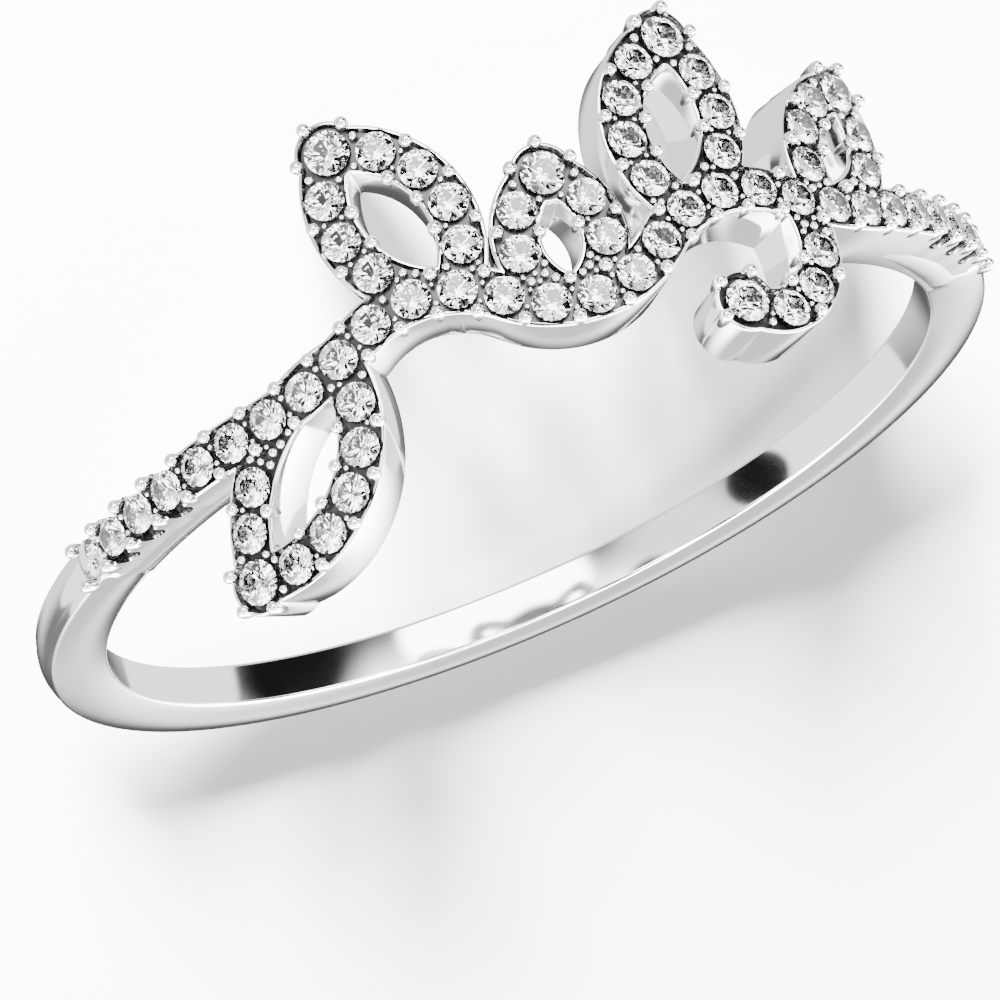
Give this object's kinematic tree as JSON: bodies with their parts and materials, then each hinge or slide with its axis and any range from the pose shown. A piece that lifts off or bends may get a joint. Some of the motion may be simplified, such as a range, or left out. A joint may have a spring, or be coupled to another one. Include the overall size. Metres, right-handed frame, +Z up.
{
  "type": "finger ring with pave scrollwork",
  "caption": "Slim polished white-metal finger ring lying on its side, with an open pave-set leaf scroll of small round white stones across the front and down both shoulders.",
  "frame": {"origin": "middle of the finger hole, on the hole's axis", "axes": "+Z up from the surface the ring lies on, +Y away from the scroll towards the back of the band; the hole's axis leans 13 degrees from +Z towards +Y"},
  "size_m": [0.0198, 0.0201, 0.0075],
  "materials": {
    "white_metal": "polished",
    "white_stone": "polished"
  },
  "bodies": {
    "root": {"ring_metal": "white_metal", "scroll_stones": "white_stone", "shoulder_stones": "white_stone"}
  },
  "joints": []
}
